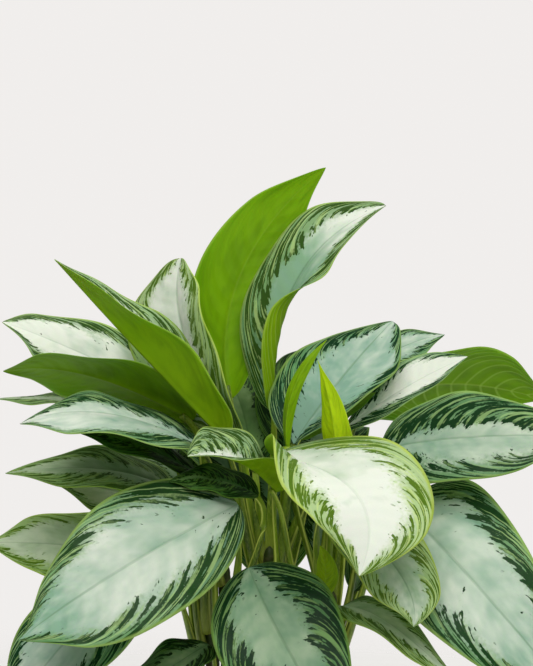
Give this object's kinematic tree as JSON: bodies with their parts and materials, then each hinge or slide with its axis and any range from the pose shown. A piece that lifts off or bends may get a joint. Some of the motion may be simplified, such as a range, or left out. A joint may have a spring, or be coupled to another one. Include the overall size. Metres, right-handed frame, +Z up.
{
  "type": "potted chinese evergreen",
  "caption": "Bushy evergreen houseplant with broad, silver-centred, dark-margined leaves on long stalks, growing from short canes in a plain round pot of soil.",
  "frame": {"origin": "centre of the pot's underside", "axes": "+Z up along the plant, -Y towards the front that the picture shows, +X to its right"},
  "size_m": [0.5856, 0.4658, 0.756],
  "materials": {
    "pot": "matte",
    "soil": "matte",
    "cane": "satin",
    "leaf": "satin"
  },
  "bodies": {
    "root": {"pot": "pot", "soil": "soil", "cane_front_left": "cane", "cane_front_right": "cane", "cane_left": "cane", "cane_right": "cane", "cane_centre": "cane", "cane_back_left": "cane", "cane_back_right": "cane", "cane_front": "cane", "cane_back": "cane", "leaf_front_left": "leaf", "leaf_front_white": "leaf", "leaf_centre_funnel": "leaf", "leaf_front_low": "leaf", "leaf_front_right_small": "leaf", "leaf_right_low_narrow": "leaf", "leaf_right_large": "leaf", "leaf_right_upper": "leaf", "leaf_right_green": "leaf", "leaf_silver_blue": "leaf", "leaf_right_teal": "leaf", "leaf_right_pale": "leaf", "leaf_young_bright": "leaf", "leaf_young_spear": "leaf", "leaf_top_green": "leaf", "leaf_top_striped": "leaf", "leaf_upper_left": "leaf", "leaf_upper_left_green": "leaf", "leaf_left_top": "leaf", "leaf_left_green": "leaf", "leaf_left_thin": "leaf", "leaf_left_silver": "leaf", "leaf_left_shaded": "leaf", "leaf_left_mid": "leaf", "leaf_left_pale": "leaf", "leaf_left_olive": "leaf", "leaf_left_low": "leaf", "leaf_left_low_small": "leaf", "leaf_inner_shaded": "leaf", "leaf_young_low": "leaf", "leaf_middle_green": "leaf", "leaf_back_low_1": "leaf", "leaf_back_low_2": "leaf", "leaf_back_low_3": "leaf", "leaf_back_low_4": "leaf", "leaf_back_low_5": "leaf", "leaf_back_middle_1": "leaf", "leaf_back_middle_2": "leaf", "leaf_back_middle_3": "leaf", "leaf_back_middle_4": "leaf", "leaf_back_middle_5": "leaf", "leaf_back_high_1": "leaf", "leaf_back_high_2": "leaf"}
  },
  "joints": []
}
